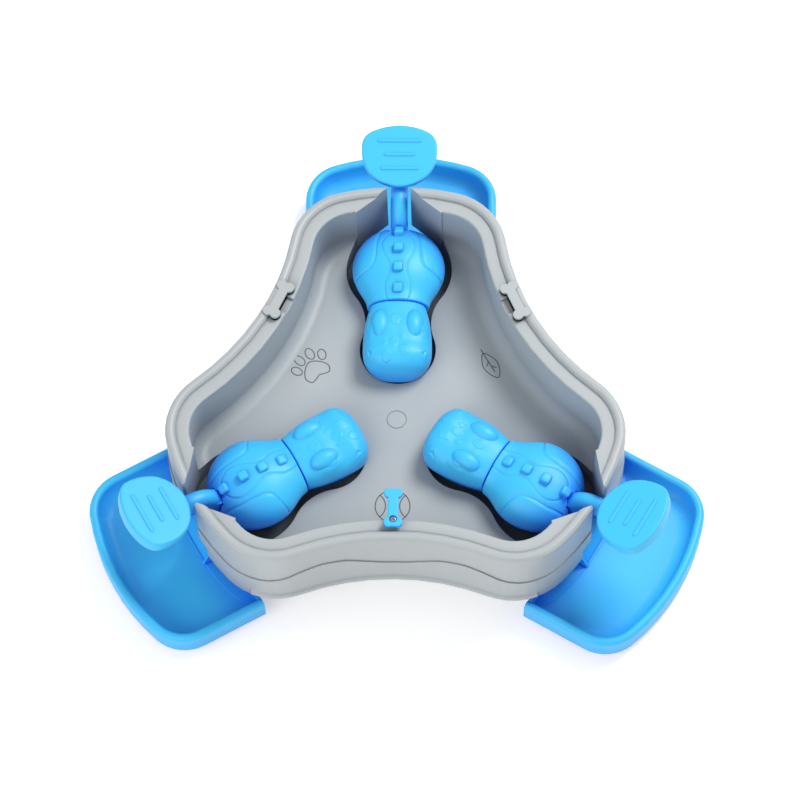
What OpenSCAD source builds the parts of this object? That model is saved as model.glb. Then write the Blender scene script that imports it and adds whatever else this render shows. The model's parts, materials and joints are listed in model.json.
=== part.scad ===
// Puzzle feeder for dogs and cats: a three-lobed double-walled bowl on a base,
// with a rocking dinosaur in a pit of each lobe. Pressing the paddle outside a
// lobe lifts the dinosaur, and food slides under it into the catch tray.
// The origin is on the three-fold axis at the ground, +Z is up and the rear
// lobe points along +Y. Sizes are in millimetres.

/* [Overall] */
// Width over two catch trays
overall_w = 375; // [368:1:385]
// Height to the raised edge of the paddles
overall_h = 90; // [88:0.5:94]

/* [Bowl outline] */
// Reach of each lobe from the middle
lobe_reach = 140.6; // [139:0.2:142]
// Radius of the arc across the end of a lobe
tip_r = 149.4; // [130:0.2:170]
// Sideways place of the corner arcs of a lobe
corner_x = 26.5; // [25:0.5:28]
// Radius of the corner arcs of a lobe
corner_r = 40.2; // [38:0.2:42]
// Distance from the middle to a hollow side
waist = 98.4; // [96:0.2:101]

/* [Bowl walls] */
// Height of the ledge that a cover lies on
ledge_z = 80; // [77:0.5:81]
// Radius of the rounded rim
bead_r = 3.25; // [2.5:0.05:3.4]
// Height of the rounded rim above the ledge
bead_rise = 3; // [2:0.1:3.2]
// Width from the outside of the rim to the inner wall
rim_w = 14.5; // [13.5:0.1:16]
// Thickness of the moulded walls
wall = 2.4; // [2:0.1:2.8]
// Radius that blends the inner wall into the floor
floor_fillet = 9; // [6:0.5:10]
// Height of the bowl floor
floor_z = 40; // [38:0.5:42]
// Width of the line between the rim and the ledge
groove_w = 0.7; // [0.4:0.1:1]
// Depth of the line between the rim and the ledge
groove_d = 0.8; // [0.3:0.1:1.2]

/* [Seam] */
// Height of the seam between bowl and base
seam_z = 50; // [49:0.5:52]
// Rise of the seam at its two crests on each side
seam_rise = 9; // [5:0.5:10]
// Distance of the crests from the middle of the side
crest_x = 40; // [37:0.5:41]
// How far the base stands out below the seam
seam_step = 0.8; // [0.4:0.1:1.2]

/* [Base] */
// Height of the lower edge of the base
skirt_z = 25; // [24.5:0.1:26]
// Thickness of the deck
deck_t = 2; // [1.6:0.1:2.4]
// How far the foot of the base stands back from the rim
foot_inset = 18; // [17.6:0.2:20]
// Height of the bead along the hollow sides
band_h = 7; // [5:0.5:8]
// How far the bead stands out
band_out = 2.4; // [1.5:0.1:3]
// Thickness of the rubber feet
pad_t = 1.8; // [1:0.1:2.5]
// Radius of the rubber feet
pad_r = 7; // [5:0.5:7.5]

/* [Pits] */
// Place of the wide end of a pit along the lobe
pit_y = 104; // [103:0.5:105]
// Radius of the wide end of a pit
pit_r = 33; // [32.5:0.1:33.4]
// Place of the narrow end of a pit along the lobe
pit_head_y = 48; // [47:0.5:49]
// Radius of the narrow end of a pit
pit_head_r = 23.5; // [23:0.1:24.5]
// Radius of the two hollow curves at the waist of a pit
pit_blend = 30; // [26:1:36]
// Slope of the pit floor down to the doorway
pit_slope = 3; // [2:0.25:3.5]

/* [Doorways] */
// Width of the slot in the wall for the arm
slot_w = 14.6; // [13.6:0.2:16]
// Width of the doorway under the slot
door_w = 34; // [33:0.5:36]

/* [Catch trays] */
// Width of a tray over its straight sides
tray_w = 122; // [119:0.2:125]
// Radius of the outer edge of a tray
tray_tip_r = 136.2; // [125:0.2:160]
// Radius of the outer corners of a tray
tray_corner_r = 25.5; // [23:0.5:28]
// Place of the inner end of a tray
tray_in_y = 125; // [124.6:0.1:126]
// Height of the rolled lip
lip_z = 22.8; // [21:0.1:23.4]
// Width of the rolled lip
lip_w = 5.6; // [5:0.1:6]
// Height of the tray floor
tray_z = 10; // [9:0.5:12]
// Radius that blends the lip into the tray floor
tray_fillet = 8; // [5:0.5:9]
// Thickness of the tray walls
tray_t = 2.2; // [1.8:0.1:2.6]
// How far the wall of a tray reaches below its floor
tray_skirt = 0.4; // [0.2:0.1:2]
// Height of the step in the floor that follows the bowl
step_h = 0.8; // [0.4:0.1:1.2]
// Width of the sill that reaches through the doorway
sill_w = 30; // [27:0.5:31]
// Height of the crest of the sill
sill_z = 19.5; // [18:0.5:20]
// Place of the crest of the sill
sill_y = 136.5; // [135.5:0.5:138]
// Reach of the tabs that hold a tray in the base
tab_l = 16; // [12:0.5:18]
// Width of the tabs
tab_w = 10; // [8:0.5:12]
// Thickness of the tabs
tab_t = 2.6; // [2:0.1:3]
// Distance of the tabs from the middle of the tray
tab_x = 38; // [36:0.5:40]

/* [Levers] */
// Place of the pivot along the lobe
pin_y = 117; // [116.5:0.1:117.5]
// Height of the pivot
pin_z = 43; // [42.5:0.1:43.5]
// Radius of the pivot pin
pin_r = 2; // [1.8:0.05:2.3]
// Running clearance of the pivot
pin_clear = 0.07; // [0.04:0.01:0.1]
// Radius of the hub
hub_r = 5.5; // [5:0.1:5.6]
// Width of the hub
hub_w = 15; // [13:0.5:15.4]
// Width of the arm
arm_w = 10.5; // [9:0.1:11]
// Height of the arm section
arm_h = 12.5; // [11.5:0.1:13]
// Radius of the bend of the arm
arm_bend = 16; // [15:0.1:16.6]
// Place of the middle of the bend
bend_y = 141; // [140.5:0.1:141.5]
// Depth of the middle of the arm below the raised edge of the paddle
arm_drop = 21.8; // [21.4:0.1:22.2]
// Thickness of an ear of the base beside the hub
ear_t = 3.5; // [3:0.1:4]

/* [Paddles] */
// Place of the outer edge of a paddle
paddle_end = 180.5; // [179:0.5:182]
// Length of a paddle along its face
paddle_l = 41; // [39:0.5:41]
// Width of a paddle
paddle_w = 46.4; // [43:0.2:48]
// Slope of the paddle face
paddle_tilt = 15; // [14:0.5:16]
// Thickness at the inner end
paddle_t_in = 4.4; // [4:0.1:4.8]
// Thickness at the outer edge
paddle_t_out = 9.5; // [8.5:0.1:10]
// Radius of the outer corners of a paddle
paddle_corner_r = 10.5; // [9:0.1:12]
// Distance of the widest part from the outer edge
paddle_wide = 13; // [12:0.2:16]
// Width of the grip ridges
ridge_w = 1.8; // [1.2:0.1:2.4]
// Height of the grip ridges
ridge_h = 0.6; // [0.4:0.1:0.8]
// Length of the outer grip ridge
ridge_outer_l = 27.5; // [22:0.5:30]
// Length of the middle grip ridge
ridge_middle_l = 19.2; // [16:0.2:24]
// Length of the inner grip ridge
ridge_inner_l = 23.6; // [18:0.2:26]
// Distance of the outer grip ridge from the outer edge
ridge_in = 10.7; // [9:0.1:12]
// Distance from one grip ridge to the next
ridge_pitch = 8.9; // [7:0.1:10]

/* [Dinosaurs] */
// Place of the body along the lobe
body_y = 98; // [97.5:0.25:98.5]
// Radius of the body
body_r = 28.5; // [27.5:0.25:29]
// Height of the widest part
girth_z = 50; // [49.5:0.25:50.5]
// Rise of the back above the widest part
back_h = 17.8; // [16:0.2:19]
// Place of the head along the lobe
head_y = 50; // [49.5:0.25:50.5]
// Radius of the head
head_r = 21.2; // [20.2:0.2:21.6]
// Rise of the head above the widest part
head_h = 14; // [12:0.5:15]
// Place of the joint between head and body
neck_y = 71; // [70.5:0.25:71.5]
// Half width of the neck
neck_r = 17.6; // [16.5:0.1:18]
// Height of the joint between the upper shells and the belly
split_z = 41; // [40.6:0.1:41.4]
// Height of the flat underside
belly_z = 34; // [33.5:0.1:34.5]
// Width of the spikes along the back
spike_w = 6; // [4:0.2:7]
// Height of the spikes
spike_h = 4; // [2:0.2:5]
// Radius of the eyes
eye_r = 6; // [5:0.2:7]

/* [Cover fittings] */
// Length of the bone shapes
bone_l = 25.8; // [24:0.2:28]
// Width of the bone shapes over the knuckles
bone_w = 11.3; // [10:0.1:12]
// Width of the bone shapes at the waist
bone_waist = 6; // [5:0.1:7]
// Thickness of the turning latch
latch_t = 2.5; // [2:0.1:3]
// Distance of the latch screw from the outside of the rim
latch_in = 11.8; // [11:0.1:12.4]
// Distance of the latch screw from the end of the latch
latch_end = 5; // [4.6:0.1:6]
// Thickness of the fixed hooks
hook_t = 1.8; // [1.4:0.1:2.2]
// Angle of the fixed hooks from the middle of their sides
hook_turn = 5.7; // [3:0.1:8]
// Distance of the fixed hooks from the outside of the rim
hook_in = 6.7; // [6.2:0.1:7.2]

/* [Screws] */
// Radius of the screws that hold the dinosaurs and the base
screw_r = 1.5; // [1.2:0.1:1.7]
// Radius of the screw heads
screw_head = 3; // [2.6:0.1:3.2]
// Height of the screw heads
screw_head_t = 2; // [1.6:0.1:2.2]

/* [Hidden] */

grey = "#c2c5c8";
blue = "#4fb6f4";
steel = "#a9adb2";
rubber = "#3a3d42";
round_fn = 96;
soft_fn = 40;
// Clearance between pieces that slide past each other
fit = 0.3;
// Clearance round a screw in its hole
hole_clear = 0.05;
// Turn of each lobe from the rear one
rear_turn = 0;
left_turn = 120;
right_turn = 240;

// Centre of the arc across a lobe, and of the corner arcs
tip_cy = lobe_reach - tip_r;
corner_cy = tip_cy + sqrt(pow(tip_r - corner_r, 2) - pow(corner_x, 2));
// Centre and radius of the arc along a hollow side
side_dir = [sin(60), cos(60)];
corner_c = [corner_x, corner_cy];
side_d = (corner_c * corner_c - pow(corner_r - waist, 2))
  / (2 * (side_dir * corner_c + corner_r - waist));
side_r = side_d - waist;
side_c = side_d * side_dir;
// Angles from the axis of the lobe at which the arcs meet
tip_a = atan2(corner_x, corner_cy - tip_cy);
side_a = atan2(side_c[0] - corner_c[0], side_c[1] - corner_c[1]);

bead_z = ledge_z + bead_rise - bead_r;
rim_top = ledge_z + bead_rise;
under_floor = floor_z - wall;
fillet_c = [rim_w + floor_fillet, floor_z + floor_fillet];
skirt_t = wall - seam_step;
slot_z = seam_z;
// Underside of the deck, and top of the posts that carry the bowl
deck_z = skirt_z + 0.5;
post_top = deck_z + deck_t + 4;
band_z = skirt_z + 0.4 + band_h / 2;
// The bead runs round this many of the stations of the corners beside the side
band_part = 5;
// Radius of the arcs that make the wave of the seam
wave_r = (pow(crest_x, 2) + pow(seam_rise, 2)) / (4 * seam_rise);

// Waist of the pits
pit_len = pit_y - pit_head_y;
blend_a = (pow(pit_len, 2) + pow(pit_r + pit_blend, 2) - pow(pit_head_r + pit_blend, 2)) / (2 * pit_len);
blend_x = sqrt(pow(pit_r + pit_blend, 2) - pow(blend_a, 2));
blend_y = pit_y - blend_a;
cup_t = 2;
cup_top = floor_z - 6;
// Pit floor: height at the doorway, and where it ends there
pit_door_y = tray_in_y;
pit_door_z = skirt_z - 0.2;
pit_nose_y = pit_head_y - pit_head_r - cup_t;
pit_nose_z = pit_door_z + (pit_door_y - pit_nose_y) * tan(pit_slope);

// Tray outline
tray_cx = tray_w / 2 - tray_corner_r;
tray_cy = (overall_w / 2 - tray_corner_r - tray_cx / 2) / cos(30);
tray_tip_cy = tray_cy - sqrt(pow(tray_tip_r - tray_corner_r, 2) - pow(tray_cx, 2));
tray_tip_a = atan2(tray_cx, tray_cy - tray_tip_cy);
lip_r = lip_w / 2;
tray_low = tray_z - tray_t - tray_skirt;
sill_in_y = pit_door_y + 1.5;
sill_in_z = pit_door_z - 0.9;
sill_foot_y = sill_y + (sill_z - tray_z) / tan(60);
sill_t = 2;
cheek_h = 4;
tab_z = tray_z + 2;
// The inner end of the tray floor lies this much behind the ends of the lip
end_back = 0.2;

// Levers: height of the middle of the bend, and place of the peg in the paddle
bend_z = overall_h - arm_drop - arm_bend;
pad_y = bend_y + 16;
peg_r = 3;

// Screws
post_x = 42;
post_y = 92;
post_r = 5;
boss_r = 4.6;
foot_x = 34;
foot_y = 84;
side_foot_y = 62;
belly_screws = [96, 80, 48];
belly_screw_top = split_z + 10;
latch_r = waist - latch_in;
latch_screw_r = 1.5;
latch_head_r = 1.9;
latch_bore_clear = 0.07;
latch_boss_z = rim_top + 0.2;
latch_z = latch_boss_z + fit;

// Shapes shared by several pieces

// Outline round a row of circles [x, y, r], given anticlockwise, with true arcs
function normal(p, q) =
  let (d = [q[0] - p[0], q[1] - p[1]], l = norm(d))
  atan2(d[1], d[0]) - 90 + asin((p[2] - q[2]) / l);
function touch(p, a) = [p[0] + p[2] * cos(a), p[1] + p[2] * sin(a)];
module round_poly(c) {
  n = len(c);
  polygon([for (i = [0 : n - 1]) for (j = [0, 1])
    let (p = c[i], q = c[(i + 1) % n], a = normal(p, q))
    j == 0 ? touch(p, a) : touch(q, a)]);
  for (p = c) translate([p[0], p[1]]) circle(r = p[2], $fn = round_fn);
}

// A shape drawn in (y, z), made w wide across the lobe
module side(w) {
  rotate([90, 0, 90]) linear_extrude(height = w, center = true) children();
}

module lobes() {
  for (a = [rear_turn, left_turn, right_turn]) rotate([0, 0, a]) children();
}

module pair() {
  children();
  mirror([1, 0, 0]) children();
}

// Stations round the outline, each [centre x, centre y, radius, angle, sign]; the
// sign is 1 on the outward arcs and -1 on the hollow ones
tip_n = 6;
corner_n = 8;
side_n = 8;
side_h = side_a - 60;
corner_step = (side_a - tip_a) / corner_n;
lobe_stations = concat(
  [for (i = [0 : side_n - 1]) [side_c[0], side_c[1], side_r, 210 + side_h - i * 2 * side_h / side_n, -1]],
  [for (i = [0 : corner_n - 1]) [corner_x, corner_cy, corner_r, 90 - side_a + i * corner_step, 1]],
  [for (i = [0 : tip_n - 1]) [0, tip_cy, tip_r, 90 - tip_a + i * 2 * tip_a / tip_n, 1]],
  [for (i = [0 : corner_n - 1]) [-corner_x, corner_cy, corner_r, 90 + tip_a + i * corner_step, 1]]);
function turned(p, a) = [p[0] * cos(a) - p[1] * sin(a), p[0] * sin(a) + p[1] * cos(a)];
// Point of a station, t inside the rim
function inset(s, t) = [s[0] + (s[2] - s[4] * t) * cos(s[3]), s[1] + (s[2] - s[4] * t) * sin(s[3])];
function ring(t) = [for (k = [0 : 2]) for (s = lobe_stations) turned(inset(s, t), k * 120)];

// Three-fold outline, t inside the rim
module trefoil(t) {
  polygon(ring(t));
}

// Skin over a closed section of points [t, z]. Each of the rings is the way that
// one point of the section takes in plan
module skin(section, rings, closed) {
  m = len(section);
  n = len(rings[0]);
  points = [for (i = [0 : n - 1]) for (j = [0 : m - 1])
    [rings[j][i][0], rings[j][i][1], section[j][1]]];
  walls = [for (i = [0 : closed ? n - 1 : n - 2]) for (j = [0 : m - 1])
    let (a = i * m, b = ((i + 1) % n) * m, k = (j + 1) % m) [a + j, a + k, b + k, b + j]];
  ends = closed ? [] : [[for (j = [m - 1 : -1 : 0]) j], [for (j = [0 : m - 1]) (n - 1) * m + j]];
  polyhedron(points = points, faces = concat(walls, ends));
}

// A section carried round the whole outline
module sweep(section) {
  skin(section, [for (q = section) ring(q[0])], true);
}

// The same along one hollow side and part of the corners beside it
module sweep_side(section, part) {
  last = [for (i = [len(lobe_stations) - part : len(lobe_stations) - 1]) lobe_stations[i]];
  skin(section, [for (q = section) concat(
    [for (s = last) turned(inset(s, q[0]), -120)],
    [for (i = [0 : side_n + part]) inset(lobe_stations[i], q[0])])], false);
}

// Points of an arc in a section
function bow(c, r, a0, a1, n) = [for (i = [0 : n])
  let (a = a0 + (a1 - a0) * i / n) [c[0] + r * cos(a), c[1] + r * sin(a)]];

// Outline of a pit, g larger all round
module pit_outline(g) {
  translate([0, pit_y]) circle(r = pit_r + g, $fn = round_fn);
  translate([0, pit_head_y]) circle(r = pit_head_r + g, $fn = round_fn);
  difference() {
    polygon([[0, pit_y], [-blend_x, blend_y], [0, pit_head_y], [blend_x, blend_y]]);
    for (s = [-1, 1]) translate([s * blend_x, blend_y]) circle(r = pit_blend - g, $fn = round_fn);
  }
}

// Everything below the wavy seam on one side, drawn in (x, z)
module under_wave() {
  mid = seam_z + seam_rise / 2;
  difference() {
    union() {
      translate([-2 * crest_x, 0]) square([4 * crest_x, mid]);
      for (s = [-1, 1]) intersection() {
        translate([s * crest_x, seam_z + seam_rise - wave_r]) circle(r = wave_r, $fn = 180);
        translate([s * crest_x - crest_x / 2, mid - 1]) square([crest_x, seam_rise]);
      }
    }
    for (x = [-2, 0, 2]) intersection() {
      translate([x * crest_x, seam_z + wave_r]) circle(r = wave_r, $fn = 180);
      translate([x * crest_x - crest_x / 2, 0]) square([crest_x, mid + 1]);
    }
  }
}
module below_seam() {
  linear_extrude(height = seam_z) circle(r = 200, $fn = round_fn);
  lobes() rotate([0, 0, 60]) translate([0, 160, 0]) rotate([90, 0, 0])
    linear_extrude(height = 90) under_wave();
}

// Bone outline along y, from 0 to bone_l
module bone() {
  k = (bone_w - bone_waist) / 2 + 0.6;
  for (s = [-1, 1]) for (y = [k, bone_l - k])
    translate([s * (bone_w / 2 - k), y]) circle(r = k, $fn = soft_fn);
  translate([-bone_waist / 2, k]) square([bone_waist, bone_l - 2 * k]);
}

// Bowl

bowl_section = concat(
  [[0, seam_z]], bow([bead_r, bead_z], bead_r, 180, 0, 6),
  [[2 * bead_r, ledge_z - groove_d], [2 * bead_r + groove_w, ledge_z - groove_d],
   [2 * bead_r + groove_w, ledge_z]],
  bow([rim_w - 1.5, ledge_z - 1.5], 1.5, 90, 0, 3),
  bow(fillet_c, floor_fillet, 180, 270, 4),
  [[fillet_c[0] + wall, floor_z], [fillet_c[0] + wall, under_floor]],
  bow(fillet_c, floor_fillet + wall, 270, 180, 3),
  [[rim_w - wall, ledge_z - wall], [wall, ledge_z - wall], [wall, seam_z]]);

// Wall of a pit where it cuts the double wall, up to the ledge
module pit_tower() {
  intersection() {
    translate([0, 0, seam_z + 0.4]) linear_extrude(height = ledge_z - wall / 2 - seam_z - 0.4)
      translate([0, pit_y]) circle(r = pit_r + cup_t, $fn = round_fn);
    translate([0, 0, seam_z]) linear_extrude(height = ledge_z - seam_z) difference() {
      trefoil(wall / 2);
      trefoil(rim_w - wall / 2);
    }
  }
}

module hook() {
  translate([0, side_d, 0]) rotate([0, 0, hook_turn]) translate([0, -side_r - hook_in, 0])
    rotate([0, 0, 90]) translate([0, -bone_l / 2, 0]) children();
}
module hooks_at() {
  rotate([0, 0, 60]) hook() children();
  mirror([1, 0, 0]) rotate([0, 0, 60]) hook() children();
}

module bowl() {
  color(grey) difference() {
    union() {
      difference() {
        sweep(bowl_section);
        below_seam_cut();
      }
      translate([0, 0, under_floor]) linear_extrude(height = wall) trefoil(rim_w + floor_fillet + 1);
      lobes() pit_tower();
      lobes() translate([0, 0, cup_top]) linear_extrude(height = floor_z - cup_top) pit_outline(cup_t);
      lobes() pair() translate([post_x, post_y, post_top])
        cylinder(h = floor_z - wall / 2 - post_top, r = boss_r, $fn = soft_fn);
      translate([0, -latch_r, ledge_z - 0.5])
        cylinder(h = latch_boss_z - ledge_z + 0.5, r = 3.6, $fn = soft_fn);
      translate([0, -latch_r, ledge_z - 9]) cylinder(h = 9, r = 3.2, $fn = soft_fn);
      hooks_at() translate([0, 0, rim_top - 1]) linear_extrude(height = hook_t) bone();
    }
    // pits, open from the deck to above the rim
    lobes() translate([0, 0, skirt_z]) linear_extrude(height = rim_top - skirt_z) intersection() {
      pit_outline(0);
      trefoil(2 * bead_r + groove_w / 2);
    }
    lobes() translate([0, 0, skirt_z]) linear_extrude(height = bead_z - bead_r - skirt_z) intersection() {
      pit_outline(0);
      trefoil(wall);
    }
    // slot for the arm
    lobes() translate([-slot_w / 2, pit_y, slot_z - 1]) cube([slot_w, lobe_reach - pit_y + 5, 60]);
    // passage of the doorway through the pit wall
    lobes() translate([-door_w / 2, pit_y + 8, skirt_z]) cube([door_w, 60, seam_z - skirt_z]);
    // openings in the ledge under the hooks
    hooks_at() translate([0, 0, ledge_z - 6]) linear_extrude(height = 7.5) intersection() {
      bone();
      translate([-bone_w, 0]) square([bone_w + 5.2, bone_l]);
    }
    // pilot holes of the screws
    lobes() pair() translate([post_x, post_y, skirt_z])
      cylinder(h = under_floor - skirt_z - 0.4, r = screw_r + hole_clear, $fn = 24);
    translate([0, -latch_r, ledge_z - 8])
      cylinder(h = 20, r = latch_screw_r + hole_clear, $fn = 24);
    // ring in the middle of the floor
    translate([0, 0, floor_z - 0.3]) difference() {
      cylinder(h = 1, r = 6.2, $fn = soft_fn);
      translate([0, 0, -1]) cylinder(h = 3, r = 5.6, $fn = soft_fn);
    }
  }
}
module below_seam_cut() {
  intersection() {
    below_seam();
    translate([0, 0, -1]) linear_extrude(height = 100) difference() {
      circle(r = 190, $fn = round_fn);
      trefoil(wall + 4);
    }
  }
}

bowl();

// Base

base_top = seam_z + seam_rise + 5;
base_section = [[-seam_step, skirt_z], [-seam_step, base_top], [skirt_t, base_top], [skirt_t, skirt_z]];
band_section = bow([band_h / 2 - band_out, band_z], band_h / 2, 270, 90, 6);

// Ears that carry a pivot pin, drawn in (y, z)
module ear() {
  difference() {
    round_poly([[pin_y - 6, skirt_z + 2, 2], [pin_y + 6, skirt_z + 2, 2], [pin_y, pin_z, 5]]);
    translate([pin_y, pin_z]) circle(r = pin_r + 0.02, $fn = soft_fn);
  }
}

module pit_floor() {
  intersection() {
    translate([0, 0, skirt_z - 5]) linear_extrude(height = 30) pit_outline(cup_t / 2);
    union() {
      side(3 * pit_r) polygon([[pit_nose_y, pit_nose_z], [pit_door_y, pit_door_z],
        [pit_door_y, pit_door_z - cup_t], [pit_nose_y, pit_nose_z - cup_t]]);
      for (s = [-1, 1]) translate([s * (door_w / 2 + pit_r), 0, 0]) side(2 * pit_r)
        polygon([[pit_door_y - 1, pit_door_z], [pit_y + pit_r + 1, pit_door_z],
          [pit_y + pit_r + 1, pit_door_z - cup_t], [pit_door_y - 1, pit_door_z - cup_t]]);
    }
  }
}

module base() {
  color(grey) difference() {
    union() {
      // wall under the seam
      intersection() {
        sweep(base_section);
        below_seam();
      }
      lobes() sweep_side(band_section, band_part);
      translate([0, 0, deck_z]) linear_extrude(height = deck_t) trefoil(wall / 2 - seam_step);
      // foot
      translate([0, 0, 1]) linear_extrude(height = deck_z - 1 + deck_t / 2) difference() {
        trefoil(foot_inset);
        trefoil(foot_inset + wall);
      }
      // cups under the pits
      lobes() translate([0, 0, skirt_z - cup_t])
        linear_extrude(height = cup_top - skirt_z + cup_t) pit_outline(cup_t);
      lobes() pair() translate([foot_x, foot_y, pad_t])
        cylinder(h = deck_z - pad_t + 1, r = pad_r + 1, $fn = soft_fn);
      lobes() rotate([0, 0, 60]) translate([0, side_foot_y, pad_t])
        cylinder(h = deck_z - pad_t + 1, r = pad_r + 1, $fn = soft_fn);
      translate([0, 0, pad_t]) cylinder(h = deck_z - pad_t + 1, r = pad_r + 1, $fn = soft_fn);
      lobes() pair() translate([post_x, post_y, deck_z + deck_t / 2])
        cylinder(h = post_top - deck_z - deck_t / 2, r = post_r, $fn = soft_fn);
    }
    // inside of the pits
    lobes() translate([0, 0, skirt_z - 10]) linear_extrude(height = 40) pit_outline(0);
    // doorway and the way under it for the sill of the tray
    lobes() translate([-door_w / 2, pit_door_y, 2 * pad_t + 10]) cube([door_w, 60, 60]);
    // slots in the foot for the tabs of the tray
    lobes() pair() translate([tab_x - tab_w / 2 - fit, tray_in_y - tab_l - 19, tab_z - fit])
      cube([tab_w + 2 * fit, tab_l + 24, tab_t + 2 * fit]);
    // holes of the screws
    lobes() pair() translate([post_x, post_y, skirt_z - 1])
      cylinder(h = 20, r = screw_r + 2 * hole_clear, $fn = 24);
  }
  color(grey) lobes() {
    pit_floor();
    for (s = [-1, 1]) translate([s * (hub_w / 2 + 2 * fit + ear_t / 2), 0, 0]) side(ear_t) ear();
    // rib that the belly rests on
    translate([-6, head_y - 6, pit_door_z]) cube([12, 3, belly_z - fit - pit_door_z]);
  }
}

module base_screws() {
  color(steel) lobes() pair() translate([post_x, post_y, 0]) {
    translate([0, 0, deck_z - screw_head_t]) cylinder(h = screw_head_t, r = screw_head, $fn = 24);
    translate([0, 0, deck_z - 0.5]) cylinder(h = under_floor - deck_z - 2, r = screw_r, $fn = 24);
  }
}

module rubber_feet() {
  color(rubber) {
    lobes() pair() translate([foot_x, foot_y, 0]) cylinder(h = pad_t, r = pad_r, $fn = soft_fn);
    lobes() rotate([0, 0, 60]) translate([0, side_foot_y, 0]) cylinder(h = pad_t, r = pad_r, $fn = soft_fn);
    cylinder(h = pad_t, r = pad_r, $fn = soft_fn);
  }
}

// Latch

module cover_latch() {
  color(blue) translate([0, -latch_r, latch_z]) difference() {
    translate([0, -latch_end, 0]) linear_extrude(height = latch_t) bone();
    translate([0, 0, -1]) cylinder(h = 10, r = latch_screw_r + latch_bore_clear, $fn = soft_fn);
    translate([0, 0, latch_t - 1.2]) cylinder(h = 5, r = latch_head_r + 0.4, $fn = soft_fn);
  }
}
module latch_screw() {
  color(steel) translate([0, -latch_r, 0]) difference() {
    union() {
      translate([0, 0, ledge_z - 7])
        cylinder(h = latch_z + latch_t - ledge_z + 6.5, r = latch_screw_r, $fn = soft_fn);
      translate([0, 0, latch_z + latch_t - 1.1]) cylinder(h = 1.4, r = latch_head_r, $fn = soft_fn);
    }
    for (a = [0, 90]) rotate([0, 0, a]) translate([-1.3, -0.25, latch_z + latch_t - 0.3]) cube([2.6, 0.5, 2]);
  }
}

// Catch tray

tray_n = 8;
function tray_edge(t) = concat(
  [[tray_w / 2 - t, tray_in_y]],
  bow([tray_cx, tray_cy], tray_corner_r - t, 0, 90 - tray_tip_a, tray_n),
  [for (i = [1 : tray_n - 1])
    bow([0, tray_tip_cy], tray_tip_r - t, 90 - tray_tip_a, 90 + tray_tip_a, tray_n)[i]],
  bow([-tray_cx, tray_cy], tray_corner_r - t, 90 + tray_tip_a, 180, tray_n),
  [[-tray_w / 2 + t, tray_in_y]]);
module tray_outline(t) {
  polygon(tray_edge(t));
}

// Section of the lip, the wall and the edge of the floor
lip_section = concat(
  [[0, tray_low]], bow([lip_r, lip_z - lip_r], lip_r, 180, 0, 6),
  bow([lip_w + tray_fillet, tray_z + tray_fillet], tray_fillet, 180, 270, 3),
  [[lip_w + tray_fillet + 2, tray_z], [lip_w + tray_fillet + 2, tray_z - tray_t],
   [tray_t, tray_z - tray_t], [tray_t, tray_low]]);

module sill() {
  top = [[tray_in_y + 20, tray_z], [sill_foot_y, tray_z], [sill_y, sill_z], [sill_in_y, sill_in_z]];
  low = [[sill_in_y, sill_in_z - sill_t], [sill_y - 0.6, sill_z - sill_t - 0.4],
         [sill_foot_y - 1.8, tray_z - tray_t], [tray_in_y + 20, tray_z - tray_t]];
  side(sill_w) polygon(concat(top, low));
  for (s = [-1, 1]) translate([s * (sill_w / 2 - 0.8), 0, 0]) side(1.6)
    polygon([[sill_foot_y + 2, tray_z - 1], [sill_foot_y, tray_z + cheek_h], [sill_y, sill_z + cheek_h],
      [sill_in_y, sill_in_z + cheek_h - 2], [sill_in_y, sill_in_z - sill_t], [sill_y - 1, tray_z - 1]]);
}

module catch_tray() {
  color(blue) {
    skin(lip_section, [for (q = lip_section) tray_edge(q[0])], false);
    difference() {
      translate([0, end_back, tray_z - tray_t]) linear_extrude(height = tray_t)
        tray_outline(lip_w + tray_fillet + 1);
      translate([-sill_w / 2 + 1, tray_in_y + 4, 0]) cube([sill_w - 2, sill_foot_y - tray_in_y - 4, 50]);
    }
    // part of the floor that lies under the bowl, one step up
    translate([0, 0, tray_z - 1]) linear_extrude(height = 1 + step_h) intersection() {
      difference() {
        translate([0, end_back]) tray_outline(lip_w + tray_fillet / 2);
        translate([-sill_w / 2 - 1, 0]) square([sill_w + 2, sill_foot_y]);
      }
      trefoil(-seam_step - 2);
    }
    // inner end, under the deck
    difference() {
      translate([-tray_w / 2 + 1, tray_in_y + end_back, tray_low + 0.2])
        cube([tray_w - 2, tray_t, lip_z - tray_low - 1.2]);
      translate([-sill_w / 2 + 1, tray_in_y - 1, tray_z - tray_t]) cube([sill_w - 2, 10, 50]);
    }
    sill();
    pair() translate([tab_x - tab_w / 2, tray_in_y - tab_l, tab_z])
      cube([tab_w, tab_l + 1, tab_t]);
  }
}

// Lever: arm and paddle

module arm_section() {
  k = (arm_h - arm_w) / 2;
  round_poly([[-k, 0, arm_w / 2], [k, 0, arm_w / 2]]);
}
module pad_top() {
  translate([0, paddle_end, overall_h]) rotate([paddle_tilt, 0, 0]) children();
}
// Space over the underside of the paddle (to = 40) or under it (to = -60)
paddle_taper = 20 * (paddle_t_out - paddle_t_in) / paddle_l;
module beyond_underside(to) {
  pad_top() side(100) polygon([[-paddle_l - 20, -paddle_t_in + paddle_taper],
    [20, -paddle_t_out - paddle_taper], [20, to], [-paddle_l - 20, to]]);
}

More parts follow.
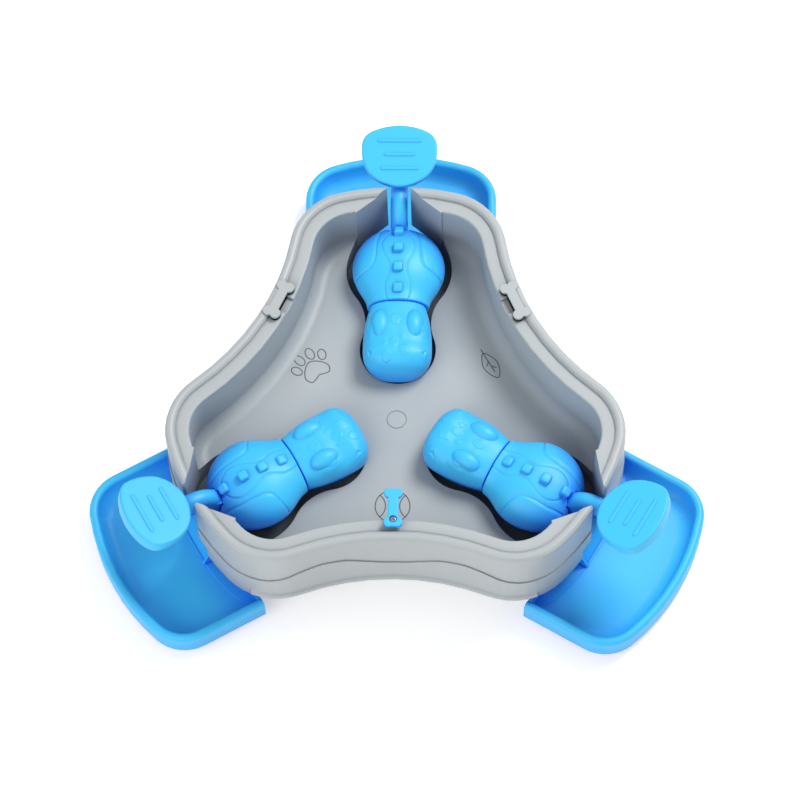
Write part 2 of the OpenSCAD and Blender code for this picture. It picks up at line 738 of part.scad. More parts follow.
module lever_arm() {
  color(blue) difference() {
    union() {
      translate([0, bend_y, bend_z]) rotate([90, 0, 90]) rotate([0, 0, 90])
        rotate_extrude(angle = 90, $fn = 180) translate([arm_bend, 0]) arm_section();
      translate([0, bend_y, bend_z + arm_bend]) rotate([-90, 90, 0])
        linear_extrude(height = pad_y - bend_y) arm_section();
      // rounded end with a pad that carries the paddle
      difference() {
        translate([0, pad_y, bend_z + arm_bend - 4]) cylinder(h = 20, r = 8.5, $fn = soft_fn);
        beyond_underside(40);
      }
      translate([0, pad_y, bend_z + arm_bend]) cylinder(h = 13, r = peg_r, $fn = soft_fn);
      // down to the hub
      side(arm_w) round_poly([[bend_y - arm_bend, bend_z + 2, arm_h / 2 - 0.2], [pin_y, pin_z, hub_r],
        [pin_y + 3, pin_z, 5]]);
      translate([0, pin_y, pin_z]) rotate([0, 90, 0])
        cylinder(h = hub_w, r = hub_r, center = true, $fn = soft_fn);
      // plate that the dinosaur is screwed to
      translate([-hub_w / 2, 90, split_z + fit]) cube([hub_w, pin_y - 90, 3]);
    }
    translate([0, pin_y, pin_z]) rotate([0, 90, 0])
      cylinder(h = 2 * hub_w, r = pin_r + pin_clear, center = true, $fn = soft_fn);
    translate([0, belly_screws[0], split_z - 1]) cylinder(h = 10, r = screw_r + hole_clear, $fn = 24);
  }
}

module paddle_outline() {
  x = paddle_w / 2 - paddle_corner_r;
  big = [0, -paddle_l / 2, paddle_l / 2];
  round_poly([big, [x, -paddle_wide, paddle_corner_r], big, [-x, -paddle_wide, paddle_corner_r]]);
}
module ridge(v, l) {
  a = (l - ridge_w) / 2;
  translate([0, v, -0.5]) linear_extrude(height = 0.5 + ridge_h)
    round_poly([[-a, 0, ridge_w / 2], [a, 0, ridge_w / 2]]);
}
module paddle() {
  lengths = [ridge_outer_l, ridge_middle_l, ridge_inner_l];
  color(blue) difference() {
    union() {
      difference() {
        pad_top() translate([0, 0, -15]) linear_extrude(height = 15) paddle_outline();
        beyond_underside(-60);
      }
      pad_top() for (i = [0 : 2]) ridge(-ridge_in - i * ridge_pitch, lengths[i]);
    }
    translate([0, pad_y, bend_z + arm_bend]) cylinder(h = 13.2, r = peg_r + hole_clear, $fn = soft_fn);
  }
}
module pivot_pin() {
  color(steel) translate([0, pin_y, pin_z]) rotate([0, 90, 0])
    cylinder(h = hub_w + 4 * fit + 2 * ear_t + 0.6, r = pin_r, center = true, $fn = soft_fn);
}

// Dinosaur

// Half of an egg standing on z0: radius r at the girth, rise h above it
module dome(r, h, low) {
  rotate_extrude($fn = 40) polygon(concat([[0, split_z]],
    [for (a = [-asin((girth_z - split_z) / low) : 14 : 0]) [r * cos(a), girth_z + low * sin(a)]],
    [for (a = [0 : 10 : 80]) [r * cos(a), girth_z + h * sin(a)]], [[0, girth_z + h]]));
}
module neck(y, h) {
  translate([0, y, 0]) rotate([90, 0, 0]) linear_extrude(height = 0.2)
    polygon(concat([[neck_r * 0.86, split_z], [neck_r, girth_z - 3]],
      [for (a = [0 : 18 : 180]) [neck_r * cos(a), girth_z + h * sin(a)]],
      [[-neck_r, girth_z - 3], [-neck_r * 0.86, split_z]]));
}
low_h = 16;
neck_h = 12;
pocket_w = hub_w + 4 * fit + 2 * ear_t + 2.6;

// Space in the dinosaur for the hub, the ears and the arm
module hub_pocket() {
  translate([-pocket_w / 2, pin_y - 14, belly_z - 10]) cube([pocket_w, 40, pin_z + 8.5 - belly_z + 10]);
  translate([0, 0, belly_z - 10]) linear_extrude(height = 60)
    polygon([[-8.5, 135], [-8.5, 123.5], [0, 117.5], [8.5, 123.5], [8.5, 135]]);
  side(arm_w + 2) round_poly([[bend_y - arm_bend, bend_z + 2, arm_h / 2 + 0.6],
    [pin_y, pin_z, hub_r + 1], [pin_y + 3, pin_z, 6]]);
}
module dino_screw_holes() {
  for (y = belly_screws) translate([0, y, belly_z - 1]) {
    cylinder(h = belly_screw_top - belly_z + 1.4, r = screw_r + hole_clear, $fn = 24);
    cylinder(h = screw_head_t + 1.6, r = screw_head + fit, $fn = 24);
  }
}
module spike(y, z, tilt) {
  translate([0, y, z]) rotate([tilt, 0, 0]) translate([0, 0, -spike_h - 1.5])
    linear_extrude(height = spike_h + 1.5) round_poly([[-spike_w / 2 + 1.4, -spike_w / 2 + 1.4, 1.4],
      [spike_w / 2 - 1.4, -spike_w / 2 + 1.4, 1.4], [spike_w / 2 - 1.4, spike_w / 2 - 1.4, 1.4],
      [-spike_w / 2 + 1.4, spike_w / 2 - 1.4, 1.4]]);
}

module dino_body() {
  color(blue) difference() {
    union() {
      intersection() {
        hull() {
          translate([0, body_y, 0]) dome(body_r, back_h, low_h);
          neck(neck_y + 0.35, neck_h);
        }
        translate([-50, neck_y + fit / 2, 0]) cube([100, 100, 100]);
      }
      for (s = [[118.9, -26], [104.6, -7], [91.1, 7], [77.9, 20]])
        spike(s[0], girth_z + back_h * sqrt(1 - pow((s[0] - body_y) / body_r, 2)) + spike_h - 0.4, s[1]);
    }
    hub_pocket();
    translate([-hub_w / 2 - fit, 90 - fit, split_z - 1]) cube([hub_w + 2 * fit, 20, 4 + 2 * fit]);
    dino_screw_holes();
  }
}
module dino_head() {
  color(blue) difference() {
    union() {
      intersection() {
        hull() {
          translate([0, head_y, 0]) dome(head_r, head_h, low_h);
          pair() translate([2.6, head_y - 7.5, 0]) dome(head_r - 2.6, head_h - 1.4, low_h);
          neck(neck_y - 0.15, neck_h);
        }
        translate([-50, neck_y - fit / 2 - 100, 0]) cube([100, 100, 100]);
      }
      pair() translate([8.5, head_y + 4.5, girth_z + head_h - eye_r + 1.2]) sphere(r = eye_r, $fn = 32);
    }
    dino_screw_holes();
  }
}
module dino_belly() {
  color(blue) difference() {
    hull() {
      translate([0, body_y, belly_z])
        cylinder(h = split_z - belly_z, r1 = 18, r2 = body_r * 0.82, $fn = 48);
      translate([0, head_y - 2, belly_z])
        cylinder(h = split_z - belly_z, r1 = 11, r2 = head_r * 0.8, $fn = 48);
    }
    hub_pocket();
    dino_screw_holes();
  }
}
module lever_screws() {
  color(steel) for (y = belly_screws) translate([0, y, belly_z + 0.6]) {
    cylinder(h = belly_screw_top - belly_z - 0.6, r = screw_r, $fn = 24);
    cylinder(h = screw_head_t, r = screw_head, $fn = 24);
  }
}

module placed(turn) {
  rotate([0, 0, turn]) children();
}

base();
base_screws();
rubber_feet();
cover_latch();
latch_screw();
placed(rear_turn) catch_tray();  // catch_tray_rear
placed(left_turn) catch_tray();  // catch_tray_left
placed(right_turn) catch_tray();  // catch_tray_right
placed(rear_turn) lever_arm();  // lever_arm_rear
placed(left_turn) lever_arm();  // lever_arm_left
placed(right_turn) lever_arm();  // lever_arm_right
placed(rear_turn) paddle();  // paddle_rear
placed(left_turn) paddle();  // paddle_left
placed(right_turn) paddle();  // paddle_right
placed(rear_turn) dino_body();  // dino_body_rear
placed(left_turn) dino_body();  // dino_body_left
placed(right_turn) dino_body();  // dino_body_right
placed(rear_turn) dino_head();  // dino_head_rear
placed(left_turn) dino_head();  // dino_head_left
placed(right_turn) dino_head();  // dino_head_right
placed(rear_turn) dino_belly();  // dino_belly_rear
placed(left_turn) dino_belly();  // dino_belly_left
placed(right_turn) dino_belly();  // dino_belly_right
placed(rear_turn) lever_screws();  // lever_screws_rear
placed(left_turn) lever_screws();  // lever_screws_left
placed(right_turn) lever_screws();  // lever_screws_right
placed(rear_turn) pivot_pin();  // pivot_pin_rear
placed(left_turn) pivot_pin();  // pivot_pin_left
placed(right_turn) pivot_pin();  // pivot_pin_right
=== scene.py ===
import json
import math
import bpy
import bmesh
import numpy as np
from mathutils import Matrix, Vector


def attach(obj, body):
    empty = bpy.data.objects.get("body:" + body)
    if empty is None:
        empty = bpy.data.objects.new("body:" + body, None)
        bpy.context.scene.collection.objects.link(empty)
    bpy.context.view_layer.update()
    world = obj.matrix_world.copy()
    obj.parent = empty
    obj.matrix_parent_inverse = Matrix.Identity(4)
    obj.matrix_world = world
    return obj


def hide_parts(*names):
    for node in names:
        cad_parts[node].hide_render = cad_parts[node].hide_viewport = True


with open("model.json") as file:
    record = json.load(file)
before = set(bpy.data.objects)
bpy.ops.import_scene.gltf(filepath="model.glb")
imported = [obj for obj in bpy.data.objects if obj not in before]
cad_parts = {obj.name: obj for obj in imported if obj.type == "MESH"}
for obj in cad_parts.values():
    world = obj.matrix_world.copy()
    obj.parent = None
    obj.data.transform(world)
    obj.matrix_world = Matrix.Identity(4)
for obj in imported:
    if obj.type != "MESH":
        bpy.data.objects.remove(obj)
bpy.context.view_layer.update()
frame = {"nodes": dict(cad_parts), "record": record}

MM = 0.001
LOBES = {"rear": 0, "left": 120, "right": 240}


# Outline of the bowl: the same arcs as the solids, in millimetres
TIP_R, CORNER_R, CORNER_X, WAIST = 149.4, 40.2, 26.5, 98.4
TIP_Y = 140.6
TIP_CY = TIP_Y - TIP_R
# Faces of the base's outer wall at the tip of a lobe: radius from the middle of the tip's arc
WALL_OUT, WALL_IN = 150.05, 147.65
CORNER_CY = TIP_CY + math.sqrt((TIP_R - CORNER_R) ** 2 - CORNER_X ** 2)
UX, UY = math.sin(math.radians(60)), math.cos(math.radians(60))
SIDE_D = (CORNER_X ** 2 + CORNER_CY ** 2 - (CORNER_R - WAIST) ** 2) / (
    2 * (UX * CORNER_X + UY * CORNER_CY + CORNER_R - WAIST))
SIDE_R = SIDE_D - WAIST
SIDE_X, SIDE_Y = SIDE_D * UX, SIDE_D * UY
TIP_A = math.degrees(math.atan2(CORNER_X, CORNER_CY - TIP_CY))
SIDE_A = math.degrees(math.atan2(SIDE_X - CORNER_X, SIDE_Y - CORNER_CY))


def turn(p, deg):
    a = math.radians(deg)
    c, s = math.cos(a), math.sin(a)
    return (p[0] * c - p[1] * s, p[0] * s + p[1] * c)


def lobe_stations(side_n=24, corner_n=20, tip_n=14):
    """Points round one lobe: middle and radius of the arc, angle, 1 or -1 for outwards or inwards curved."""
    half = SIDE_A - 60
    corner = SIDE_A - TIP_A
    out = []
    for i in range(side_n):
        out.append((SIDE_X, SIDE_Y, SIDE_R, 210 + half - i * 2 * half / side_n, -1))
    for i in range(corner_n):
        out.append((CORNER_X, CORNER_CY, CORNER_R, 90 - SIDE_A + i * corner / corner_n, 1))
    for i in range(tip_n):
        out.append((0, TIP_CY, TIP_R, 90 - TIP_A + i * 2 * TIP_A / tip_n, 1))
    for i in range(corner_n):
        out.append((-CORNER_X, CORNER_CY, CORNER_R, 90 + TIP_A + i * corner / corner_n, 1))
    return out


STATIONS = lobe_stations()


def inset(station, t):
    """The station's point, moved inwards by t."""
    x, y, r, deg, sign = station
    r -= sign * t
    a = math.radians(deg)
    return (x + r * math.cos(a), y + r * math.sin(a))


def ring(t):
    """The bowl's outline, moved inwards by t."""
    return [turn(inset(s, t), 120 * k) for k in range(3) for s in STATIONS]


def bow(cx, cy, r, a0, a1, n):
    """Points of an arc."""
    return [(cx + r * math.cos(math.radians(a0 + (a1 - a0) * i / n)),
             cy + r * math.sin(math.radians(a0 + (a1 - a0) * i / n))) for i in range(n + 1)]


def oval(cx, cy, rx, ry, deg=0, n=36):
    """Points of a closed oval, turned by deg."""
    out = []
    for i in range(n):
        x, y = turn((rx * math.cos(2 * math.pi * i / n), ry * math.sin(2 * math.pi * i / n)), deg)
        out.append((x + cx, y + cy))
    return out


# Mesh helpers; all lengths are in millimetres
def add_object(name, data):
    ob = bpy.data.objects.new(name, data)
    bpy.context.scene.collection.objects.link(ob)
    return ob


def tidy_mesh(me, dist):
    """Merges points nearer than dist and turns all faces outwards."""
    bm = bmesh.new()
    bm.from_mesh(me)
    bmesh.ops.remove_doubles(bm, verts=bm.verts, dist=dist)
    bmesh.ops.recalc_face_normals(bm, faces=bm.faces)
    bm.to_mesh(me)
    bm.free()


def new_object(name, verts, faces):
    me = bpy.data.meshes.new(name)
    me.from_pydata([tuple(c * MM for c in v) for v in verts], [], faces)
    me.validate()
    tidy_mesh(me, 1e-7)
    return add_object(name, me)


def skin(name, section, rings):
    """A closed section of (t, z) whose points follow the closed rings in plan."""
    m, n = len(section), len(rings[0])
    verts = [(rings[j][i][0], rings[j][i][1], section[j][1]) for i in range(n) for j in range(m)]
    faces = []
    for i in range(n):
        a, b = i * m, ((i + 1) % n) * m
        for j in range(m):
            k = (j + 1) % m
            faces.append((a + j, a + k, b + k, b + j))
    return new_object(name, verts, faces)


def extrude(name, outline, low, high):
    """A closed body between two copies of an outline; low and high place its points."""
    n = len(outline)
    verts = [low(p) for p in outline] + [high(p) for p in outline]
    faces = [tuple(range(n - 1, -1, -1)), tuple(range(n, 2 * n))]
    faces += [(i, (i + 1) % n, n + (i + 1) % n, n + i) for i in range(n)]
    return new_object(name, verts, faces)


def prism(name, outline, z0, z1):
    """An outline drawn in (x, y), from z0 up to z1."""
    return extrude(name, outline, lambda p: (*p, z0), lambda p: (*p, z1))


def side_prism(name, outline, x0, x1):
    """An outline drawn in (y, z), extruded across the lobe."""
    return extrude(name, outline, lambda p: (x0, *p), lambda p: (x1, *p))


def block(name, x0, x1, y0, y1, z0, z1):
    return prism(name, [(x0, y0), (x1, y0), (x1, y1), (x0, y1)], z0, z1)


def tube(name, c, r, z0, z1):
    return prism(name, oval(*c, r, r, n=48), z0, z1)


def stack(name, rings):
    """Closed rings of equal length, capped at both ends."""
    n, m = len(rings[0]), len(rings)
    verts = [p for r in rings for p in r]
    faces = [(j * n + i, j * n + (i + 1) % n, (j + 1) * n + (i + 1) % n, (j + 1) * n + i)
             for j in range(m - 1) for i in range(n)]
    faces += [tuple(range(n - 1, -1, -1)), tuple((m - 1) * n + i for i in range(n))]
    return new_object(name, verts, faces)


def left_of(p, closed):
    """Unit vectors that point to the left of a line through the points."""
    e = np.roll(p, -1, axis=0) - np.roll(p, 1, axis=0) if closed else np.gradient(p, axis=0)
    left = np.stack([-e[:, 1], e[:, 0]], axis=1)
    return left / np.linalg.norm(left, axis=1)[:, None]


def shrink(pts, d):
    """A closed anticlockwise outline moved inwards by d."""
    p = np.array(pts, float)
    return [tuple(q) for q in p + left_of(p, True) * d]


def inner(outline, d):
    return shrink(outline, d) if d > 1e-6 else outline


def round_edge(r, steps):
    """A quarter circle from a lower edge up: (distance in, rise) for each step."""
    angles = [math.pi / 2 * i / steps for i in range(steps + 1)]
    return [(r * (1 - math.sin(a)), r * (1 - math.cos(a))) for a in angles]


def pillow(name, outline, low, high, r_low, r_high, steps=5):
    """An outline raised from low to high, with both edges rounded."""
    levels = [(d, low + h) for d, h in round_edge(r_low, steps)]
    levels += [(h, high - d) for d, h in round_edge(r_high, steps)]
    return stack(name, [[(x, y, z) for x, y in inner(outline, d)] for d, z in levels])


def weigh(ob, angle):
    """Smooth shading that keeps flat faces flat."""
    smooth_by(ob, angle)
    m = ob.modifiers.new("w", "WEIGHTED_NORMAL")
    m.keep_sharp = True
    m.weight = 80
    apply(ob)
    return ob


def turned_copy(ob, deg, name):
    c = ob.copy()
    c.data = ob.data.copy()
    c.name = name
    bpy.context.scene.collection.objects.link(c)
    c.data.transform(Matrix.Rotation(math.radians(deg), 4, "Z"))
    return c


def combine(ob, others, how):
    """Boolean of ob with the others, which are used up."""
    for other in others:
        m = ob.modifiers.new("b", "BOOLEAN")
        m.operation = how
        m.object = other
        m.solver = "MANIFOLD"
    apply(ob)
    for other in others:
        bpy.data.objects.remove(other)
    return ob


def apply(ob):
    dg = bpy.context.evaluated_depsgraph_get()
    dg.update()
    me = bpy.data.meshes.new_from_object(ob.evaluated_get(dg))
    old = ob.data
    ob.modifiers.clear()
    ob.data = me
    if old.users == 0:
        bpy.data.meshes.remove(old)
    return ob


def smooth_by(ob, angle):
    me = ob.data
    me.polygons.foreach_set("use_smooth", [True] * len(me.polygons))
    me.set_sharp_from_angle(angle=math.radians(angle))
    me.update()
    return ob


# Materials
def add_node(nt, kind, **values):
    """A new shader node with some of its inputs set."""
    n = nt.nodes.new("ShaderNode" + kind)
    for key, value in values.items():
        n.inputs[key.replace("_", " ")].default_value = value
    return n


def math_node(nt, op, a, b):
    """A maths node; b may be a number."""
    n = add_node(nt, "Math")
    n.operation = op
    nt.links.new(a, n.inputs[0])
    if isinstance(b, float):
        n.inputs[1].default_value = b
    else:
        nt.links.new(b, n.inputs[1])
    return n.outputs[0]


def new_material(name):
    mat = bpy.data.materials.new(name)
    mat.use_nodes = True
    nt = mat.node_tree
    return mat, nt, nt.nodes["Principled BSDF"], add_node(nt, "TexCoord").outputs["Object"]


def plastic(name, colour, rough, grain, grain_scale, shade, edge=0.4, painted_near_shade=None, painted_pit_shade=None):
    """Moulded plastic: cloudy colour, fine grain, and edges that look rounded by the radius edge, optionally
    with painted shade where other surfaces stand near and deep inside the pits.
    """
    mat, nt, bs, coord = new_material(name)
    cloud = add_node(nt, "TexNoise", Scale=22.0, Detail=3.0)
    nt.links.new(coord, cloud.inputs["Vector"])
    tint = add_node(nt, "MixRGB", Color1=(*[c * (1 - shade) for c in colour], 1),
                Color2=(*[min(1, c * (1 + shade)) for c in colour], 1))
    nt.links.new(cloud.outputs["Fac"], tint.inputs[0])
    last = tint.outputs[0]
    # painted shade: darker where other surfaces stand near
    if painted_near_shade:
        last = close_shade(nt, last, *painted_near_shade)
    # painted shade: darker the deeper it lies inside a pit
    if painted_pit_shade:
        last = pit_shade(nt, coord, last, *painted_pit_shade)
    nt.links.new(last, bs.inputs["Base Color"])
    fine = add_node(nt, "TexNoise", Scale=grain_scale, Detail=4.0)
    nt.links.new(coord, fine.inputs["Vector"])
    spread = add_node(nt, "MapRange", To_Min=rough - 0.05, To_Max=rough + 0.05)
    nt.links.new(fine.outputs["Fac"], spread.inputs["Value"])
    nt.links.new(spread.outputs["Result"], bs.inputs["Roughness"])
    bump = add_node(nt, "Bump", Strength=grain, Distance=0.0002)
    nt.links.new(fine.outputs["Fac"], bump.inputs["Height"])
    if edge:
        soft = add_node(nt, "Bevel", Radius=edge * MM)
        soft.samples = 6
        nt.links.new(soft.outputs["Normal"], bump.inputs["Normal"])
    nt.links.new(bump.outputs["Normal"], bs.inputs["Normal"])
    bs.inputs["IOR"].default_value = 1.46
    return mat


def close_shade(nt, colour, shade_tone, power, reach):
    """Painted shade: the plastic turns to a dark tone where other surfaces stand near, as ambient occlusion
    does.
    """
    ao = add_node(nt, "AmbientOcclusion", Distance=reach)
    ao.samples = 6
    mix = add_node(nt, "MixRGB", Color1=(*shade_tone, 1))
    nt.links.new(math_node(nt, "POWER", ao.outputs["AO"], power), mix.inputs[0])
    nt.links.new(colour, mix.inputs[2])
    return mix.outputs[0]


# Circles that make up a pit's opening, inside which shade is painted: distance from the middle of the bowl,
# radius
PIT_CIRCLES = ((104.0, 33.0), (48.0, 23.5), (66.0, 20.0), (79.0, 22.0))
# Dark colour of the painted shade deep inside the pits
PIT_SHADE_TONE = (0.013, 0.022, 0.029, 1)


def pit_shade(nt, coord, colour, low, high, most):
    """Painted shade: the plastic is painted darker the deeper it lies inside a pit, from nothing at high to
    most at low.
    """
    flat = add_node(nt, "VectorMath")
    flat.operation = "MULTIPLY"
    flat.inputs[1].default_value = (1, 1, 0)
    nt.links.new(coord, flat.inputs[0])
    parts = add_node(nt, "SeparateXYZ")
    nt.links.new(coord, parts.inputs[0])
    inside = None
    for deg in LOBES.values():
        for y, r in PIT_CIRCLES:
            away = add_node(nt, "VectorMath")
            away.operation = "DISTANCE"
            away.inputs[1].default_value = (*[c * MM for c in turn((0, y), deg)], 0)
            nt.links.new(flat.outputs[0], away.inputs[0])
            here = add_node(nt, "MapRange", From_Min=(r + 0.2) * MM, From_Max=(r + 0.9) * MM,
                            To_Min=1.0, To_Max=0.0)
            nt.links.new(away.outputs["Value"], here.inputs["Value"])
            here = here.outputs["Result"]
            inside = here if inside is None else math_node(nt, "MAXIMUM", inside, here)
    depth = add_node(nt, "MapRange", From_Min=low * MM, From_Max=high * MM, To_Min=most, To_Max=0.0)
    depth.interpolation_type = "SMOOTHSTEP"
    nt.links.new(parts.outputs["Z"], depth.inputs["Value"])
    mix = add_node(nt, "MixRGB", Color2=PIT_SHADE_TONE)
    nt.links.new(math_node(nt, "MULTIPLY", inside, depth.outputs["Result"]), mix.inputs[0])
    nt.links.new(colour, mix.inputs[1])
    return mix.outputs[0]


def metal(name, colour, rough):
    mat, nt, bs, coord = new_material(name)
    bs.inputs["Metallic"].default_value = 1.0
    bs.inputs["Base Color"].default_value = (*colour, 1)
    fine = add_node(nt, "TexNoise", Scale=1500.0)
    nt.links.new(coord, fine.inputs["Vector"])
    spread = add_node(nt, "MapRange", To_Min=rough - 0.06, To_Max=rough + 0.08)
    nt.links.new(fine.outputs["Fac"], spread.inputs["Value"])
    nt.links.new(spread.outputs["Result"], bs.inputs["Roughness"])
    return mat


# Grey, blue and tray blue carry painted shade: a dark tone where surfaces stand near, and for the grey also
# deep inside the pits
GREY = plastic("grey_moulded", (0.458, 0.493, 0.508), 0.44, 0.05, 1400.0, 0.012, edge=0.45,
               painted_near_shade=((0.11, 0.14, 0.158), 0.66, 0.03), painted_pit_shade=(20, 41, 0.66))
BLUE = plastic("blue_moulded", (0.052, 0.56, 1.0), 0.44, 0.03, 1200.0, 0.015,
               painted_near_shade=((0.012, 0.15, 1.0), 0.9, 0.03))
BLUE_TRAY = plastic("blue_tray", (0.05, 0.55, 1.0), 0.42, 0.03, 1200.0, 0.015,
                    painted_near_shade=((0.012, 0.13, 1.0), 0.75, 0.026))
STEEL = metal("steel", (0.40, 0.40, 0.41), 0.32)
RUBBER = plastic("black_rubber", (0.03, 0.03, 0.034), 0.7, 0.15, 800.0, 0.05)
INK = plastic("dark_lines", (0.11, 0.12, 0.135), 0.6, 0.05, 1400.0, 0.05, edge=0)
SLOT_MATERIAL = {"grey_plastic": GREY, "blue_plastic": BLUE, "steel": STEEL, "rubber": RUBBER}


def dress(ob, mat):
    ob.data.materials.clear()
    ob.data.materials.append(mat)


SLOTS = {sub["node"]: sub["material_slot"] for sub in frame["record"]["subparts"]}
for cad_name, slot in SLOTS.items():
    cad = frame["nodes"][cad_name]
    if len(cad.material_slots) == 0:
        cad.data.materials.append(SLOT_MATERIAL[slot])
    for used in cad.material_slots:
        used.material = SLOT_MATERIAL[slot]


# Dinosaurs: half widths, heights over the girth and places along y, in the frame of the rear lobe
BODY_Y, BODY_R, GIRTH, BACK_H = 98.0, 28.5, 50.0, 17.8
HEAD_H, SNOUT_Y, WIDE_Y, HEAD_W = 14.0, 24.9, 44.0, 21.3
NECK_Y, NECK_R, SPLIT, BELLY = 71.0, 17.6, 41.0, 34.0
NECK_GAP = 0.15
BACK_END = 118.1
SPIKE_W, SPIKE_H = 6.1, 8.0
SPIKES = ((118.9, 67.1, -26), (104.6, 71.4, -7), (91.1, 70.3, 7), (77.9, 66.4, 20))


def smooth(a, b, x):
    """0 up to a, 1 from b on, and a soft step between."""
    t = np.clip((x - a) / (b - a), 0.0, 1.0)
    return t * t * (3 - 2 * t)


def body_height(y):
    return BACK_H * np.sqrt(np.clip(1 - ((y - BODY_Y) / BODY_R) ** 2, 0, None))


def loft(name, ys, wide, rise, low, relief, n, power=2.0):
    """Cross-sections along y: wide at the girth, rise above it, down to the split, low times as wide."""
    verts, faces = [], []
    top = int(n * 0.68)
    for y, w, h in zip(ys, wide, rise):
        for i in range(n):
            if i <= top:
                a = math.pi * i / top
                c, s = math.cos(a), math.sin(a)
                x = w * (abs(c) ** (2 / power)) * (1 if c >= 0 else -1)
                z = GIRTH + h * (abs(s) ** (2 / power))
            else:
                k = (i - top) / (n - top)
                # under the girth: in towards the split, flat across it
                if k < 0.25:
                    t = k / 0.25
                    x = -w * (1 - (1 - low) * t * t)
                    z = GIRTH - (GIRTH - SPLIT) * t
                elif k > 0.75:
                    t = (1 - k) / 0.25
                    x = w * (1 - (1 - low) * t * t)
                    z = GIRTH - (GIRTH - SPLIT) * t
                else:
                    t = (k - 0.25) / 0.5
                    x = -w * low * (1 - 2 * t)
                    z = SPLIT
            verts.append((x, y, z))
    m = len(ys)
    v = np.array(verts).reshape(m, n, 3)
    dy = np.gradient(v, axis=0)
    dx = np.roll(v, -1, axis=1) - np.roll(v, 1, axis=1)
    nn = np.cross(dx, dy)
    ln = np.linalg.norm(nn, axis=2, keepdims=True)
    nn = nn / np.where(ln == 0, 1, ln)
    mid = np.array([0, 0, GIRTH])
    sign = np.sign(((v - mid) * nn)[..., [0, 2]].sum(-1, keepdims=True))
    nn = nn * np.where(sign == 0, 1, sign)
    v += nn * relief(v)[..., None]
    for j in range(m - 1):
        for i in range(n):
            k = (i + 1) % n
            faces.append((j * n + i, j * n + k, (j + 1) * n + k, (j + 1) * n + i))
    faces.append(tuple(range(n - 1, -1, -1)))
    faces.append(tuple((m - 1) * n + i for i in range(n)))
    return new_object(name, v.reshape(-1, 3), faces)


def seg_dist(px, py, a, b):
    """Distance to the stretch from a to b."""
    ax, ay = a
    bx, by = b
    dx, dy = bx - ax, by - ay
    t = np.clip(((px - ax) * dx + (py - ay) * dy) / (dx * dx + dy * dy), 0, 1)
    return np.hypot(px - ax - t * dx, py - ay - t * dy)


def line_dist(px, py, pts):
    d = np.full(px.shape, 1e9)
    for a, b in zip(pts[:-1], pts[1:]):
        d = np.minimum(d, seg_dist(px, py, a, b))
    return d


def curve_pts(ctrl, n=10):
    """Catmull-Rom through the control points."""
    c = [ctrl[0]] + list(ctrl) + [ctrl[-1]]
    out = []
    for i in range(1, len(c) - 2):
        p0, p1, p2, p3 = [np.array(c[i + k], float) for k in (-1, 0, 1, 2)]
        first, second, third = p2 - p0, 2 * p0 - 5 * p1 + 4 * p2 - p3, 3 * p1 - p0 - 3 * p2 + p3
        for j in range(n):
            t = j / n
            out.append(tuple(0.5 * (2 * p1 + first * t + second * t ** 2 + third * t ** 3)))
    out.append(tuple(ctrl[-1]))
    return out


# Right halves of the lines on the back, in plan, from the outer end inwards
SPINE = curve_pts([(0, BACK_END), (6, 116.4), (9.5, 112), (10.3, 107.5), (9.0, 102), (6.6, 97), (5.0, 92.2),
                   (5.6, 87.5), (7.4, 83), (8.0, 80), (7.6, 76), (6.3, 70)])
FLANK = curve_pts([(11.0, 122), (12.2, 118), (13.5, 112.6), (14.2, 103), (14.9, 97.3), (17.0, 93.4),
                   (21.4, 91), (25.5, 89.2), (29, 87.4)])


def line_x(line, y):
    """The x of a line at y."""
    return np.interp(y, [p[1] for p in line[::-1]], [p[0] for p in line[::-1]])


def groove(d, half):
    """A rounded groove: 1 where the distance d from its middle is 0."""
    return np.exp(-(d / half) ** 2)


def hump(x, y, middle, reach, power=1):
    """A smooth round hump, 1 at its middle."""
    return np.exp(-(((x - middle[0]) / reach[0]) ** 2 + ((y - middle[1]) / reach[1]) ** 2) ** power)


def poly_scale(px, py, c, r, sides, spin, squash):
    """1 inside a small polygon, falling to 0 over its edge."""
    d = np.zeros(px.shape) - 1e9
    for k in range(sides):
        a = math.radians(360 / sides * k + spin)
        d = np.maximum(d, (px - c[0]) * math.cos(a) + (py - c[1]) / squash * math.sin(a))
    return 1 - smooth(r - 0.34, r + 0.28, d)


def neck_groove(y):
    return 1.2 * groove(y - NECK_Y, 0.36)


def body_relief(v):
    """How far each point of the body stands out or in."""
    x, y, z = np.abs(v[..., 0]), v[..., 1], v[..., 2]
    up = smooth(GIRTH - 3, GIRTH + 2, z)
    out = 0.35 * smooth(-0.25, 0.45, line_x(SPINE, y) - x) * (y < BACK_END) * up
    out -= 0.34 * groove(line_dist(x, y, SPINE), 0.6) * up
    out -= 0.5 * groove(line_dist(x, y, FLANK), 0.6) * up
    # the flank stands a little proud of the back
    out += 0.35 * smooth(0, 2.2, x - line_x(FLANK, y)) * up * smooth(86, 90, y)
    return out - neck_groove(y)


def tri_dist(x, y, pts):
    """Signed distance to the sides of a small triangle, negative inside."""
    cx, cy = sum(p[0] for p in pts) / 3, sum(p[1] for p in pts) / 3
    d = np.full(x.shape, -1e9)
    for (x0, y0), (x1, y1) in zip(pts, pts[1:] + pts[:1]):
        h = ((x - x0) * (y1 - y0) - (y - y0) * (x1 - x0)) / math.hypot(x1 - x0, y1 - y0)
        c = (cx - x0) * (y1 - y0) - (cy - y0) * (x1 - x0)
        d = np.maximum(d, h if c < 0 else -h)
    return d


